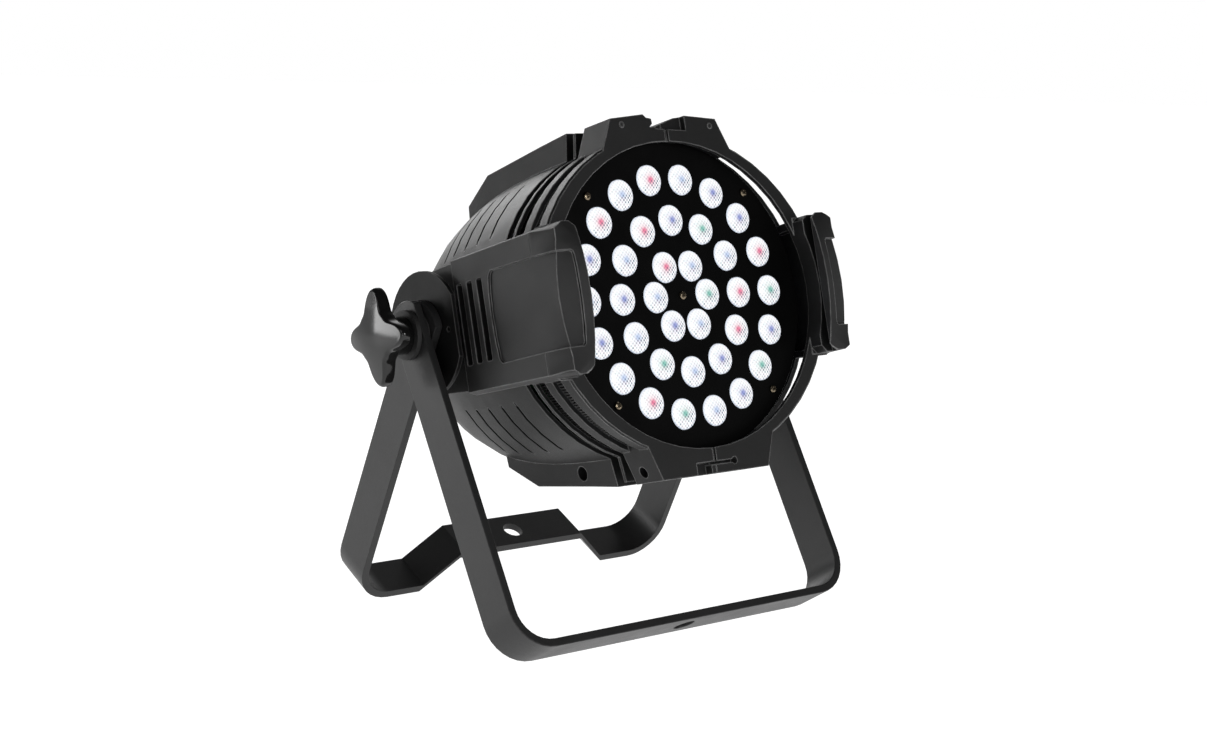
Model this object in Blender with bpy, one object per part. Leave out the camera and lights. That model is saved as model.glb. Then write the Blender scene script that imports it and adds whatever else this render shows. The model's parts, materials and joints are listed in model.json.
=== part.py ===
"""Par can stage light on two folding yokes: die-cast clamshell head, 36 LED lenses, star knobs.

Units are metres, +Z is up and the light shines towards -Y. The origin is on the floor, under the
middle of the standing light. Everything on the head is modelled in the head's own frame, whose
origin is the middle of the tilt axis, with -Y as the optical axis.
"""
import math

import bmesh
import bpy
from mathutils import Matrix, Vector

# ---------------------------------------------------------------- driving dimensions
GAP = 0.0003                      # clearance between pieces that touch
SEAT_Y = 0.0095                   # the tilt axis stands this far behind the origin
HEAD_TILT = math.radians(15.9)    # the head looks up by this much at rest

BAR_WIDTH = 0.030                 # both yokes are bent from 30 x 5 mm flat bar
BAR_THICK = 0.005
BAR_BEND = 0.026                  # outer radius of the corner bends
ARM_END = 0.021                   # radius of the rounded arm ends about the pivot
FRONT_HALF_WIDTH = 0.1359
FRONT_LENGTH = 0.2097
FRONT_LEAN = math.radians(31.7)
REAR_HALF_WIDTH = 0.1294
REAR_LENGTH = 0.1987
PLATFORM_RISE = 0.0241            # the rear yoke's hanging platform stands above its feet
PLATFORM_HALF = 0.0520
FOOT_START = 0.0780
HANGING_HOLE = 0.0070
BOLT_HOLE = 0.0054

PIVOT_Z = FRONT_LENGTH * math.cos(FRONT_LEAN) + BAR_WIDTH / 2 * math.sin(FRONT_LEAN)
REAR_REACH = math.hypot(REAR_LENGTH, BAR_WIDTH / 2)
REAR_LEAN = math.atan2(BAR_WIDTH / 2, REAR_LENGTH) + math.acos(PIVOT_Z / REAR_REACH)

# head frame: y of the main stations, front to back
EAR_FRONT = -0.1333               # middle of the accessory guides' front, at their inner edge
EAR_CORNER = -0.1281
RING_FRONT = -0.1095
LIP_BACK = -0.1066
LENS_PLANE = -0.1018
RING_BACK = -0.0990
RIB_FRONT = -0.0913
RIB_BACK = -0.0842
FIN_RIB_FRONT = -0.0745
FIN_RIB_BACK = -0.0722
BELL_FRONT = -0.0650
BELL_BACK = 0.0885

RING_A = 0.1140                   # half-axes of the oval front ring, outside
RING_B = 0.1020
RING_WALL = 0.0035
LIP_A = 0.1020                    # half-axes of the opening in the front lip
LIP_B = 0.0952
BELL_RADIUS = 0.1018
BELL_OVAL = 0.0100                # the bell's mouth is this much wider across than it is high
OVAL_FADE = 0.1000                # length over which it turns round
BELL_FALL = 0.1880                # length over which the bell closes
BELL_POWER = 3.0
WALL = 0.0030
REAR_OPENING = 0.0600
TURN = 48                         # facets round the turned shapes

POD_SIDE = 0.1162
POD_REAR_SIDE = 0.1125
POD_STEP = -0.0270
POD_TOP = 0.0436
POD_BOTTOM = -0.0456
POD_END = 0.0385
EAR_INNER = 0.0956
EAR_TOP = 0.0446
EAR_BOTTOM = -0.0443
PANEL_LOW = -0.0285               # inset panel on each pod's side, carried on round the guide
PANEL_HIGH = 0.0272
PANEL_DEPTH = 0.0017
SLOT_BACK = -0.1190               # groove that takes a colour frame
SLOT_WIDTH = 0.0072
SLOT_DEPTH = 0.1045

RING_RADII = (0.0210, 0.0473, 0.0736)
LENS_COUNTS = (6, 12, 18)
RING_NAMES = ("inner", "middle", "outer")
LENS_RADIUS = 0.0096
LENS_SIDES = 8
PLATE_RADIUS = 0.0970
PLATE_THICK = 0.0020
FACE_SCREW_CIRCLE = 0.0897
FACE_SCREW_ANGLES = (45, 135, 225, 315)

DISC_RADIUS = 0.0388
DISC_FLAT = 0.0338
KNOB_RADIUS = 0.0302
KNOB_WAIST = 0.0178
KNOB_FACE = 0.1612

COVER_RADIUS = 0.0680
COVER_FRONT = BELL_BACK + GAP
COVER_THICK = 0.0030
COVER_BACK = COVER_FRONT + COVER_THICK
DISPLAY = (0.0440, 0.0160)
DISPLAY_Z = 0.0340
BUTTON_Z = 0.0130
BUTTON_STEP = 0.0150
BUTTON_RADIUS = 0.0040
SOCKET_X = 0.0330
SOCKET_Z = -0.0140
INLET_Z = -0.0440
FUSE_X = 0.0290
EYELET_Z = 0.0570


# ---------------------------------------------------------------- helpers
def material(name, colour, roughness, metallic=0.0):
    """A Principled material, made once for each name."""
    found = bpy.data.materials.get(name)
    if found:
        return found
    made = bpy.data.materials.new(name)
    made.use_nodes = True
    shader = made.node_tree.nodes["Principled BSDF"]
    shader.inputs["Base Color"].default_value = (*colour, 1.0)
    shader.inputs["Roughness"].default_value = roughness
    shader.inputs["Metallic"].default_value = metallic
    made.diffuse_color = (*colour, 1.0)
    return made


def black_powder():
    return material("black_powder_coat", (0.020, 0.020, 0.021), 0.50)


def yoke_paint():
    return material("yoke_paint", (0.028, 0.028, 0.030), 0.42)


def gloss_black():
    return material("gloss_black_plastic", (0.012, 0.012, 0.013), 0.16)


def matte_black():
    return material("matte_black", (0.008, 0.008, 0.008), 0.70)


def steel():
    return material("zinc_steel", (0.55, 0.55, 0.56), 0.32, 1.0)


def aluminium():
    return material("bare_aluminium", (0.62, 0.63, 0.65), 0.38, 1.0)


def lens_plastic():
    return material("lens_plastic", (0.85, 0.87, 0.90), 0.08)


def board_green():
    return material("circuit_board", (0.03, 0.16, 0.07), 0.45)


def window_plastic():
    return material("display_window", (0.02, 0.03, 0.05), 0.05)


def make(name, bm, paint=None):
    """Turn a bmesh into an object of its own."""
    bmesh.ops.remove_doubles(bm, verts=bm.verts, dist=1e-6)
    bmesh.ops.recalc_face_normals(bm, faces=bm.faces)
    mesh = bpy.data.meshes.new(name)
    bm.to_mesh(mesh)
    bm.free()
    obj = bpy.data.objects.new(name, mesh)
    bpy.context.scene.collection.objects.link(obj)
    if paint:
        mesh.materials.append(paint)
    return obj


def ring_loop(bm, points):
    return [bm.verts.new(point) for point in points]


def bridge(bm, low, high):
    count = len(low)
    for i in range(count):
        j = (i + 1) % count
        bm.faces.new((low[i], low[j], high[j], high[i]))


def loft(loops):
    """A closed solid through loops of equal length, with flat ends."""
    bm = bmesh.new()
    rows = [ring_loop(bm, points) for points in loops]
    for low, high in zip(rows, rows[1:]):
        bridge(bm, low, high)
    bm.faces.new(reversed(rows[0]))
    bm.faces.new(rows[-1])
    return bm


def prism(outline, axis, start, end):
    """Extrude a closed outline along one axis. The outline gives the other two, in x, y, z order."""
    def place(point, level):
        values = list(point)
        values.insert("xyz".index(axis), level)
        return Vector(values)
    return loft([[place(p, start) for p in outline], [place(p, end) for p in outline]])


def box(low, high):
    outline = [(low[0], low[1]), (high[0], low[1]), (high[0], high[1]), (low[0], high[1])]
    return prism(outline, "z", low[2], high[2])


def circle(radius, steps=24, centre=(0.0, 0.0), start=0.0):
    turn = 2 * math.pi / steps
    return [(centre[0] + radius * math.cos(start + turn * i),
             centre[1] + radius * math.sin(start + turn * i)) for i in range(steps)]


def rod(radius, axis, start, end, centre=(0.0, 0.0), steps=24):
    return prism(circle(radius, steps, centre), axis, start, end)


def arc(centre, radius, start, end, steps):
    """Points on an arc, angles in degrees."""
    points = []
    for i in range(steps + 1):
        angle = math.radians(start + (end - start) * i / steps)
        points.append((centre[0] + radius * math.cos(angle), centre[1] + radius * math.sin(angle)))
    return points


def rounded_rectangle(low, high, radius, steps=4):
    corners = (((low[0] + radius, low[1] + radius), 180), ((high[0] - radius, low[1] + radius), 270),
               ((high[0] - radius, high[1] - radius), 0), ((low[0] + radius, high[1] - radius), 90))
    outline = []
    for centre, start in corners:
        outline += arc(centre, radius, start, start + 90, steps)
    return outline


def turned(stations, steps=TURN):
    """A solid lofted along Y through ovals (y, half-axis in x, half-axis in z)."""
    return loft([[(a * math.cos(2 * math.pi * i / steps), y, b * math.sin(2 * math.pi * i / steps))
                  for i in range(steps)] for y, a, b in stations])


def apply(obj, tool, operation):
    """Cut, join or intersect with a tool object, then drop the tool."""
    modifier = obj.modifiers.new("shape", "BOOLEAN")
    modifier.operation = operation
    modifier.solver = "EXACT"
    modifier.object = tool
    graph = bpy.context.evaluated_depsgraph_get()
    result = bpy.data.meshes.new_from_object(obj.evaluated_get(graph), depsgraph=graph)
    obj.modifiers.clear()
    old = obj.data
    obj.data = result
    result.name = obj.name
    bpy.data.meshes.remove(old)
    tool_mesh = tool.data
    bpy.data.objects.remove(tool)
    bpy.data.meshes.remove(tool_mesh)


def cut(obj, *shapes):
    for bm in shapes:
        apply(obj, make("cutter", bm), "DIFFERENCE")


def join(obj, *shapes):
    for bm in shapes:
        apply(obj, make("addition", bm), "UNION")


def merged(shapes):
    """Several separate closed shapes in one bmesh, for one cut."""
    whole = bmesh.new()
    for bm in shapes:
        piece = bpy.data.meshes.new("piece")
        bm.to_mesh(piece)
        bm.free()
        whole.from_mesh(piece)
        bpy.data.meshes.remove(piece)
    return whole


def moved(bm, matrix):
    bmesh.ops.transform(bm, matrix=matrix, verts=bm.verts)
    return bm


def mirrored_x(bm):
    bmesh.ops.scale(bm, vec=(-1, 1, 1), verts=bm.verts)
    bmesh.ops.reverse_faces(bm, faces=bm.faces)
    return bm


def both_sides(maker):
    """A shape and its mirror image about the seam plane, as one cutter or addition."""
    return merged([maker(), mirrored_x(maker())])


def pivot_empty(name, location, tilt, parent=None):
    empty = bpy.data.objects.new(name, None)
    empty.location = location
    empty.rotation_euler = (tilt, 0.0, 0.0)
    empty.parent = parent
    bpy.context.scene.collection.objects.link(empty)
    return empty


def hang(obj, parent, origin=None):
    """Parent a finished piece, and set its own origin where it turns or slides."""
    obj.parent = parent
    if origin is not None:
        obj.data.transform(Matrix.Translation(-Vector(origin)))
        obj.location = origin
    obj.data.shade_smooth()
    obj.data.set_sharp_from_angle(angle=math.radians(32))
    return obj


# ---------------------------------------------------------------- yokes
def bar_shape(path, inner_path):
    """Flat bar bent along a path in the XZ plane, given as its outer and inner line."""
    outline = path + list(reversed(inner_path))
    return prism(outline, "y", -BAR_WIDTH / 2, BAR_WIDTH / 2)


def front_path(half, length, bend):
    points = [(-half, ARM_END)]
    points += arc((-half + bend, -length + bend), bend, 180, 270, 8)
    points += arc((half - bend, -length + bend), bend, 270, 360, 8)
    points.append((half, ARM_END))
    return points


def rear_path(half, length, bend, lift, shift):
    """As the front yoke's, with the middle raised into a platform between two feet."""
    top = -length + lift
    points = [(-half, ARM_END)]
    points += arc((-half + bend, -length + bend), bend, 180, 270, 8)
    points += [(-FOOT_START + shift, -length), (-PLATFORM_HALF + shift, top)]
    points += [(PLATFORM_HALF - shift, top), (FOOT_START - shift, -length)]
    points += arc((half - bend, -length + bend), bend, 270, 360, 8)
    points.append((half, ARM_END))
    return points


def arm_end_outline():
    """Side outline of a yoke: straight sides, the top closed by an arc about the pivot."""
    corner = math.degrees(math.asin(BAR_WIDTH / 2 / ARM_END))
    deep = -(FRONT_LENGTH + BAR_WIDTH)
    outline = [(-BAR_WIDTH, deep), (BAR_WIDTH, deep)]
    outline += [(BAR_WIDTH, math.cos(math.radians(corner)) * ARM_END)]
    outline += arc((0.0, 0.0), ARM_END, 90 - corner, 90 + corner, 10)
    outline += [(-BAR_WIDTH, math.cos(math.radians(corner)) * ARM_END)]
    return outline


def build_yoke(name, half, shape, hole_z, pivot):
    yoke = make(name, shape, yoke_paint())
    apply(yoke, make("cutter", prism(arm_end_outline(), "x", -half - 0.01, half + 0.01)), "INTERSECT")
    cut(yoke, rod(BOLT_HOLE, "x", -half - 0.01, half + 0.01, steps=20))
    cut(yoke, rod(HANGING_HOLE, "z", hole_z - 0.02, hole_z + 0.02, steps=20))
    return hang(yoke, pivot)


def build_yokes(front_pivot, rear_pivot):
    inner = BAR_BEND - BAR_THICK
    shape = bar_shape(front_path(FRONT_HALF_WIDTH, FRONT_LENGTH, BAR_BEND),
                      front_path(FRONT_HALF_WIDTH - BAR_THICK, FRONT_LENGTH - BAR_THICK, inner))
    build_yoke("yoke_front", FRONT_HALF_WIDTH, shape, -FRONT_LENGTH, front_pivot)
    slope = math.atan2(PLATFORM_RISE, FOOT_START - PLATFORM_HALF)
    shift = BAR_THICK * math.tan(slope / 2)
    shape = bar_shape(rear_path(REAR_HALF_WIDTH, REAR_LENGTH, BAR_BEND, PLATFORM_RISE, 0.0),
                      rear_path(REAR_HALF_WIDTH - BAR_THICK, REAR_LENGTH - BAR_THICK, inner,
                                PLATFORM_RISE, shift))
    build_yoke("yoke_rear", REAR_HALF_WIDTH, shape, -REAR_LENGTH + PLATFORM_RISE, rear_pivot)


# ---------------------------------------------------------------- housing
def bell_radius(y):
    """Outer radius of the bell at station y."""
    return BELL_RADIUS * math.sqrt(1 - ((y - BELL_FRONT) / BELL_FALL) ** BELL_POWER)


def bell_oval(y):
    """Half-axes (across, upright) of the bell at station y."""
    radius = bell_radius(y)
    return radius + BELL_OVAL * max(0.0, 1 - (y - BELL_FRONT) / OVAL_FADE), radius


def bell_stations(inset, front, back, steps=8):
    stations = []
    for i in range(steps + 1):
        y = front + (back - front) * i / steps
        across, upright = bell_oval(min(max(y, BELL_FRONT), BELL_BACK))
        stations.append((y, across - inset, upright - inset))
    return stations


def ridge_outline(top, half_top, half_base, base):
    return [(-half_base, base), (half_base, base), (half_top, top), (-half_top, top)]


def ridge_box(side, half_top, half_base, base, stations):
    """A ridge with sloping sides along the seam, lofted through (y, height) stations."""
    loops = []
    for y, top in stations:
        flat = half_top + (half_base - half_top) * max(0.0, 0.110 - top) / 0.030
        loops.append([(x, y, side * z) for x, z in ridge_outline(top, flat, half_base, base)])
    return loft(loops)


def top_flange():
    """Front flange over the ring, with the stepped tab, the see-through notch and the ramp."""
    outline = [(-0.0530, 0.0800), (0.0530, 0.0800), (0.0508, 0.0900), (0.0420, 0.1095),
               (0.0164, 0.1114), (0.0110, 0.1108), (-0.0075, 0.1045), (-0.0125, 0.1040),
               (-0.0102, 0.1062), (-0.0106, 0.1093), (-0.0146, 0.1100), (-0.0168, 0.1120),
               (-0.0430, 0.1092), (-0.0520, 0.0895)]
    return prism(outline, "y", RING_FRONT, RIB_BACK)


def bottom_flange():
    outline = [(-0.0530, -0.0800), (-0.0510, -0.0900), (-0.0430, -0.1110), (0.0430, -0.1110),
               (0.0510, -0.0900), (0.0530, -0.0800)]
    return prism(outline, "y", RING_FRONT, RIB_BACK)


def pod_outline():
    """Side view of a pod: straight front, round end about the tilt axis."""
    outline = [(RING_FRONT, POD_TOP), (RING_FRONT, POD_BOTTOM)]
    outline += arc((0.0, 0.0), POD_END, -92, 92, 14)
    return outline


def pod_front_outline():
    return [(RING_FRONT + 0.0010, POD_TOP), (RING_FRONT + 0.0010, POD_BOTTOM),
            (POD_STEP, -0.0430), (POD_STEP, 0.0410)]


def pod():
    return prism(pod_outline(), "x", 0.0800, POD_REAR_SIDE)


def pod_cheek():
    return prism(pod_front_outline(), "x", POD_REAR_SIDE - 0.002, POD_SIDE)


def ear_side(z):
    """How far out the guide's front corner stands: its outer side is bowed."""
    return POD_SIDE - min(0.0045, 0.0030 * (z / 0.0265) ** 2)


def ear_nose(z):
    """Station of the guide's front along its inner edge."""
    return EAR_FRONT + 0.0060 * ((z - 0.002) / 0.040) ** 2


def ear():
    """The accessory guide in front of the ring: a block bowed forward and outward in the middle."""
    loops = []
    for z in (EAR_BOTTOM, -0.0340, -0.0250, -0.0140, 0.0, 0.0140, 0.0250, 0.0340, EAR_TOP):
        loops.append([(EAR_INNER, ear_nose(z), z), (ear_side(z), EAR_CORNER, z),
                      (POD_SIDE, RING_FRONT - 0.0010, z), (POD_SIDE - 0.0003, RING_FRONT + 0.004, z),
                      (EAR_INNER, RING_FRONT + 0.004, z)])
    block = loft(loops)
    bmesh.ops.triangulate(block, faces=block.faces)
    return block


def long_chamfer(upper):
    """Cutter for the chamfer that runs along a pod and out over its guide, above or below."""
    stations = ((-0.1400, 0.0364, 0.1030, 0.0450), (RING_FRONT - 0.0011, 0.0410, 0.1085, 0.0440),
                (POD_STEP + 0.0010, 0.0396, 0.1085, 0.0424))
    loops = []
    for y, edge, inner, crest in stations:
        if not upper:
            edge, crest = edge + 0.0010, crest + 0.0012
        side = 1 if upper else -1
        loops.append([(0.1175, y, side * edge), (inner, y, side * crest), (0.1175, y, side * 0.0700)])
    return loft(loops)


def inner_chamfer(upper):
    """Cutter for the guide's corner next to the lens opening."""
    side = 1 if upper else -1
    low = 0.0408 if upper else 0.0388
    outline = [(EAR_INNER - 0.001, side * low), (0.1003, side * 0.0450),
               (0.1003, side * 0.0600), (EAR_INNER - 0.001, side * 0.0600)]
    return prism(outline, "y", -0.1500, RING_FRONT - 0.0005)


def ear_slot():
    return box((EAR_INNER - 0.01, SLOT_BACK - SLOT_WIDTH, EAR_BOTTOM - 0.01),
               (SLOT_DEPTH, SLOT_BACK, EAR_TOP + 0.01))


def pod_hollow():
    """Inside of a pod, open to the inside of the head."""
    outline = [(-0.1060, 0.0385), (-0.1060, -0.0405), (POD_STEP, -0.0365)]
    outline += arc((0.0, 0.0), POD_END - 0.0035, -85, 85, 10)
    outline += [(POD_STEP, 0.0358)]
    return prism(outline, "x", 0.0700, POD_REAR_SIDE - 0.0035)


def panel_recess():
    """Shallow inset on the pod's side, carried on round the corner of the guide's front face."""
    loops = []
    floor = POD_SIDE - PANEL_DEPTH
    bend = RING_FRONT - 0.0010
    for z, rear, inner in ((PANEL_LOW, -0.0665, 0.1032), (PANEL_LOW + 0.0009, -0.0650, 0.1020),
                           (PANEL_LOW + 0.0030, -0.0634, 0.1016), (-0.0140, -0.0619, 0.1016),
                           (0.0, -0.0613, 0.1016), (0.0140, -0.0619, 0.1016),
                           (PANEL_HIGH - 0.0030, -0.0636, 0.1016), (PANEL_HIGH - 0.0009, -0.0652, 0.1020),
                           (PANEL_HIGH, -0.0667, 0.1032)):
        rise = (EAR_CORNER - ear_nose(z)) / (ear_side(z) - EAR_INNER)
        front = ear_nose(z) + PANEL_DEPTH
        corner = ear_side(z) - PANEL_DEPTH
        near = front + rise * (inner - EAR_INNER)
        loops.append([(POD_SIDE + 0.01, rear, z), (floor, rear, z), (floor, bend, z),
                      (corner, front + rise * (corner - EAR_INNER), z), (inner, near, z),
                      (inner, near - 0.015, z), (POD_SIDE + 0.01, near - 0.015, z)])
    return loft(loops)


def pod_vents():
    """Three upright slots through the pod's side wall."""
    shapes = []
    for i in range(3):
        y = -0.0565 + 0.0104 * i
        outline = rounded_rectangle((y, -0.0252), (y + 0.0056, 0.0248), 0.0012, 2)
        shapes.append(prism(outline, "x", POD_REAR_SIDE - 0.006, POD_SIDE + 0.01))
    return merged(shapes)


def oval_arc(across, upright, start, end, steps):
    """Points on an oval, by angle in degrees."""
    angles = [math.radians(start + (end - start) * i / steps) for i in range(steps + 1)]
    return [(across * math.cos(angle), upright * math.sin(angle)) for angle in angles]


def slit(y, start, end, width=0.0016):
    """One curved slit through the bell's wall."""
    across, upright = bell_oval(y)
    inner = oval_arc(across - 0.008, upright - 0.008, start, end, 4)
    outer = oval_arc(across + 0.006, upright + 0.006, start, end, 4)
    return prism(outer + list(reversed(inner)), "y", y - width / 2, y + width / 2)


def slits():
    shapes = []
    for i in range(5):
        y = -0.0420 + 0.0170 * i
        for start, end in ((29.5, 52), (128, 150.5), (210, 235), (305, 330)):
            shapes.append(slit(y, start, end))
    return merged(shapes)


def inside():
    """The hollow inside of the head, from the front lip to the rear opening."""
    front = turned([(LIP_BACK, RING_A - RING_WALL, RING_B - RING_WALL),
                    (BELL_FRONT + 0.002, RING_A - RING_WALL - 0.0012, RING_B - RING_WALL - 0.0002)])
    bell = turned(bell_stations(WALL, BELL_FRONT - 0.002, BELL_BACK - WALL))
    return front, bell


def clamp_screw_places():
    """(name, y, z, side) of the screws that pull the two halves together across the seam."""
    return (("bottom_rear", -0.0340, -0.0990, -1), ("bottom_front", -0.0950, -0.1044, -1),
            ("top_rear", -0.0340, 0.1025, 1), ("top_front", -0.0950, 0.1048, 1))


def housing_body():
    """Both halves as one casting, before the seam is cut."""
    ring = turned([(RING_FRONT, RING_A - 0.0012, RING_B - 0.0012),
                   (RING_FRONT + 0.0012, RING_A, RING_B),
                   (RING_BACK - 0.0012, RING_A - 0.0005, RING_B - 0.0005),
                   (RING_BACK, RING_A - 0.0015, RING_B - 0.0015)])
    body = make("housing", ring, black_powder())
    join(body, turned([(RIB_FRONT, RING_A - 0.0010, RING_B), (RIB_BACK, RING_A - 0.0014, RING_B)]),
         turned([(FIN_RIB_FRONT, RING_A - 0.0018, RING_B - 0.0004),
                 (FIN_RIB_BACK, RING_A - 0.0018, RING_B - 0.0004)]),
         turned(bell_stations(0.0, BELL_FRONT, BELL_BACK)))
    fin_top = [(FIN_RIB_FRONT, 0.1085), (FIN_RIB_BACK, 0.1085)]
    rear_top = [(BELL_FRONT, 0.1106), (-0.0370, 0.1085), (0.0210, 0.1032), (0.0420, 0.0870)]
    rear_bottom = [(BELL_FRONT, 0.1106), (-0.0370, 0.1076), (0.0140, 0.1025), (0.0390, 0.0870)]
    join(body, top_flange(), bottom_flange(),
         ridge_box(1, 0.0425, 0.0490, 0.0700, fin_top), ridge_box(-1, 0.0425, 0.0490, 0.0700, fin_top),
         ridge_box(1, 0.0425, 0.0490, 0.0700, rear_top),
         ridge_box(-1, 0.0425, 0.0490, 0.0700, rear_bottom))
    for side in (False, True):
        for maker in (pod, pod_cheek, ear):
            shape = maker()
            join(body, mirrored_x(shape) if side else shape)
    for upper in (True, False):
        for maker in (long_chamfer, inner_chamfer):
            cut(body, merged([maker(upper), mirrored_x(maker(upper))]))
    return body


def carve_housing(body):
    """Everything that is taken out of the casting."""
    cut(body, *inside())
    cut(body, turned([(RING_FRONT - 0.01, LIP_A, LIP_B), (LIP_BACK + 0.002, LIP_A, LIP_B)]),
        rod(REAR_OPENING, "y", BELL_BACK - 0.01, BELL_BACK + 0.01, steps=TURN))
    for maker in (pod_hollow, ear_slot, panel_recess, pod_vents):
        cut(body, both_sides(maker))
    cut(body, slits())
    cut(body, rod(BOLT_HOLE, "x", -0.13, 0.13, steps=20))
    recess = [(-0.0082, 0.1032), (0.0164, 0.1020), (0.0164, 0.1200), (-0.0082, 0.1200)]
    cut(body, prism(recess, "y", RING_FRONT - 0.01, RING_FRONT + 0.0045))
    cut(body, box((-0.0012, RING_FRONT - 0.01, 0.0900), (0.0016, RING_FRONT + 0.0020, 0.1028)))
    slot = [(-0.0154, -0.1036), (-0.0154, -0.1200), (-0.0036, -0.1200), (-0.0036, -0.1056)]
    slot += arc((0.0156, -0.1046), 0.0022, 205, 515, 10) + [(-0.0036, -0.1036)]
    cut(body, prism(slot, "y", RING_FRONT - 0.01, RING_FRONT + 0.0060))
    cut(body, box((-0.0012, RING_FRONT - 0.01, -0.1040), (0.0012, RING_FRONT + 0.0020, -0.0900)))
    for name, y, z, side in clamp_screw_places():
        head = 0.0046 if "rear" in name else 0.0034
        edge = 0.0300 * side
        cut(body, rod(head, "x", min(edge, side * 0.06), max(edge, side * 0.06), (y, z), 16),
            rod(0.0020, "x", -0.031, 0.031, (y, z), 10))
    for angle in range(45, 360, 90):
        place = (0.0640 * math.cos(math.radians(angle)), 0.0640 * math.sin(math.radians(angle)))
        cut(body, rod(0.0016, "y", BELL_BACK - 0.01, BELL_BACK + 0.01, place, 12))


def cut_at_seam(half, side):
    """Keep one side of the seam plane, less half the gap, and close the cut."""
    parts = half.verts[:] + half.edges[:] + half.faces[:]
    result = bmesh.ops.bisect_plane(half, geom=parts, plane_co=(side * GAP / 2, 0.0, 0.0),
                                    plane_no=(side, 0.0, 0.0), clear_inner=True)
    rim = [item for item in result["geom_cut"] if isinstance(item, bmesh.types.BMEdge)]
    bmesh.ops.triangle_fill(half, edges=rim, use_beauty=True)


def build_housing(head):
    body = housing_body()
    carve_housing(body)
    for name, side in (("housing_left", -1), ("housing_right", 1)):
        half = bmesh.new()
        half.from_mesh(body.data)
        cut_at_seam(half, side)
        hang(make(name, half, black_powder()), head)
    bpy.data.objects.remove(body)


# ---------------------------------------------------------------- light engine
def ring_places(index):
    radius = RING_RADII[index]
    count = LENS_COUNTS[index]
    return [(radius * math.cos(2 * math.pi * i / count), radius * math.sin(2 * math.pi * i / count))
            for i in range(count)]


def lens_shape(place):
    """A bead lens: domed front, straight rim, narrower foot."""
    x, z = place
    front = LENS_PLANE
    stations = ((front - 0.0014, 0.0056), (front + 0.0002, LENS_RADIUS), (front + 0.0075, LENS_RADIUS))
    turn = 2 * math.pi / LENS_SIDES
    return loft([[(x + r * math.cos(turn * i), y, z + r * math.sin(turn * i))
                  for i in range(LENS_SIDES)] for y, r in stations])


def build_lenses(head):
    for index, name in enumerate(RING_NAMES):
        radius = RING_RADII[index]
        web = make("lens_ring_" + name, rod(radius + 0.004, "y", LENS_PLANE + 0.0035,
                                            LENS_PLANE + 0.0048, steps=36), lens_plastic())
        cut(web, rod(radius - 0.004, "y", LENS_PLANE, LENS_PLANE + 0.01, steps=36))
        join(web, merged([lens_shape(place) for place in ring_places(index)]))
        hang(web, head)


def build_face_plate(head):
    back = LENS_PLANE + PLATE_THICK
    plate = make("face_plate", rod(PLATE_RADIUS, "y", LENS_PLANE, back, steps=60), matte_black())
    low, high = LENS_PLANE - 0.01, back + 0.01
    holes = [rod(LENS_RADIUS + GAP, "y", low, high, place, LENS_SIDES)
             for index in range(3) for place in ring_places(index)]
    holes += [rod(0.0018, "y", low, high, place, 8) for place in face_screw_places()]
    cut(plate, merged(holes))
    hang(plate, head)


def face_screw_places():
    places = [(0.0, 0.0)]
    for angle in FACE_SCREW_ANGLES:
        turn = math.radians(angle)
        places.append((FACE_SCREW_CIRCLE * math.cos(turn), FACE_SCREW_CIRCLE * math.sin(turn)))
    return places


def pan_screw(name, head_radius, shank_radius, seat, tip, height, place, parent, steps=10):
    """A pan-head screw along Y, its head on the -Y or +Y side of the seat."""
    sign = 1 if seat > tip else -1
    stations = ((seat + sign * height, head_radius * 0.72), (seat + sign * height * 0.55, head_radius),
                (seat, head_radius), (seat, shank_radius), (tip, shank_radius))
    turn = 2 * math.pi / steps
    screw = loft([[(place[0] + r * math.cos(turn * i), y, place[1] + r * math.sin(turn * i))
                   for i in range(steps)] for y, r in stations])
    return hang(make(name, screw, steel()), parent)


def build_face_screws(head):
    names = ("centre", "upper_right", "upper_left", "lower_left", "lower_right")
    for name, place in zip(names, face_screw_places()):
        pan_screw("face_screw_" + name, 0.0032, 0.0015, LENS_PLANE - GAP, LENS_PLANE + 0.0090,
                  0.0016, place, head)


def build_engine(head):
    """LED board, heat sink with radial fins, and the fan behind it."""
    board = make("led_board", rod(0.0860, "y", -0.0922, -0.0906, steps=48), aluminium())
    hang(board, head)
    sink = make("heat_sink", rod(0.0900, "y", -0.0902, -0.0850, steps=48), aluminium())
    fins = []
    for i in range(30):
        shape = box((0.0400, -0.0860, -0.0011), (0.0930, -0.0560, 0.0011))
        fins.append(moved(shape, Matrix.Rotation(math.radians(12 * i), 4, "Y")))
    join(sink, merged(fins))
    hang(sink, head)
    frame = make("fan_frame", box((-0.040, -0.0440, -0.040), (0.040, -0.0240, 0.040)), matte_black())
    cut(frame, rod(0.0375, "y", -0.06, -0.0262, steps=24), rod(0.0340, "y", -0.03, -0.02, steps=24))
    struts = [moved(box((0.0, -0.0262, -0.0022), (0.0360, -0.0240, 0.0022)),
                    Matrix.Rotation(math.radians(45 + 90 * i), 4, "Y")) for i in range(4)]
    for strut in struts:
        join(frame, strut)
    join(frame, rod(0.0120, "y", -0.0262, -0.0240, steps=24))
    hang(frame, head)
    rotor = make("fan_rotor", rod(0.0140, "y", -0.0430, -0.0268, steps=24), matte_black())
    blades = []
    for i in range(7):
        blade = box((0.0120, -0.0009, -0.0090), (0.0360, 0.0009, 0.0090))
        moved(blade, Matrix.Rotation(math.radians(38), 4, "X"))
        moved(blade, Matrix.Translation((0.0, -0.0350, 0.0)))
        blades.append(moved(blade, Matrix.Rotation(2 * math.pi / 7 * i, 4, "Y")))
    join(rotor, merged(blades))
    return hang(rotor, head, (0.0, -0.0350, 0.0))


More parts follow.
